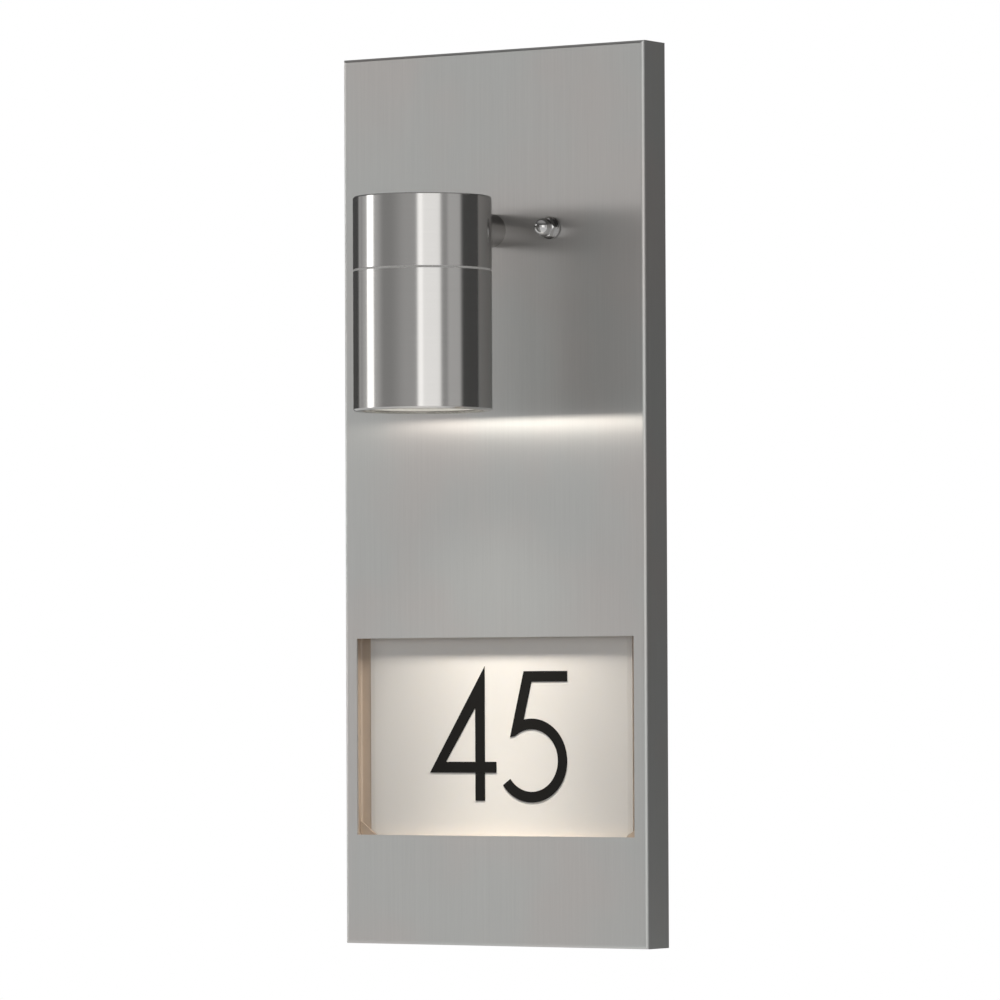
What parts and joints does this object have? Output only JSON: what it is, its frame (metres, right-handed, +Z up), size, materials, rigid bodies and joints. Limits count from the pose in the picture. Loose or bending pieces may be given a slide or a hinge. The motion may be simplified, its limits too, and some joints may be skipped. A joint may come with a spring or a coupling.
{
  "type": "illuminated house number sign",
  "caption": "Wall sign for a house number: a brushed stainless box with a recessed white number panel, lit from above by a round spot lamp on a short arm.",
  "frame": {"origin": "on the wall plane, level with the spot's arm, in the middle of the two wall-screw slots of the bracket", "axes": "-Y is the way the sign faces, +Y goes into the wall, +X is to a viewer's right, +Z is up"},
  "size_m": [0.16, 0.1045, 0.4],
  "materials": {
    "brushed_stainless": "brushed stainless steel, upright grain on the face",
    "tray_steel": "plain stainless steel sheet",
    "panel_white": "satin white acrylic",
    "polished_steel": "polished stainless steel",
    "zinc_plate": "bright zinc plating",
    "black_rubber": "matt black rubber",
    "pale_gasket": "pale grey silicone",
    "clear_glass": "clear glass",
    "lamp_mirror": "silvered reflector",
    "capsule_frosted": "frosted burner",
    "ceramic_white": "unglazed white ceramic",
    "brass": "plain brass",
    "terminal_plastic": "natural moulded plastic",
    "lead_brown": "brown insulation",
    "lead_blue": "blue insulation",
    "lead_green_yellow": "green and yellow insulation"
  },
  "bodies": {
    "sign": {"front_cover": "brushed_stainless", "spot_arm": "brushed_stainless", "spot_cap": "brushed_stainless", "number_tray": "tray_steel", "panel_corner_clips": "tray_steel", "number_panel": "panel_white", "cap_nuts": "polished_steel", "screw_washers": "polished_steel", "wall_bracket": "zinc_plate", "bracket_screws": "zinc_plate", "screw_lock_nuts": "zinc_plate", "arm_nipple": "zinc_plate", "arm_rear_nut": "zinc_plate", "arm_lock_washer": "zinc_plate", "arm_front_nut": "zinc_plate", "arm_saddle_washer": "zinc_plate", "holder_strap": "zinc_plate", "holder_screws": "zinc_plate", "strap_screws": "zinc_plate", "earth_tag": "zinc_plate", "earth_screw": "zinc_plate", "terminal_screws": "zinc_plate", "terminal_block_screws": "zinc_plate", "screw_seals": "black_rubber", "cable_grommet": "black_rubber", "seam_gasket": "pale_gasket", "holder_plate": "ceramic_white", "lamp_holder": "ceramic_white", "terminal_barrels": "brass", "terminal_block": "terminal_plastic", "live_lead": "lead_brown", "neutral_lead": "lead_blue", "earth_lead": "lead_green_yellow"},
    "sleeve": {"spot_sleeve": "brushed_stainless", "glass_gasket": "pale_gasket", "front_glass": "clear_glass", "glass_retaining_ring": "zinc_plate"},
    "lamp": {"lamp_reflector": "lamp_mirror", "lamp_lens": "clear_glass", "lamp_base": "ceramic_white", "lamp_pins": "brass", "lamp_capsule": "capsule_frosted"}
  },
  "joints": [
    {"name": "sleeve_slide", "type": "slide", "parent": "sign", "child": "sleeve", "axis": [0, 0, -1], "range_m": [0, 0.075]},
    {"name": "lamp_twist", "type": "hinge", "parent": "sign", "child": "lamp", "pos_m": [0, -0.074, -0.0285], "axis": [0, 0, 1], "range_deg": [0, 40]}
  ]
}
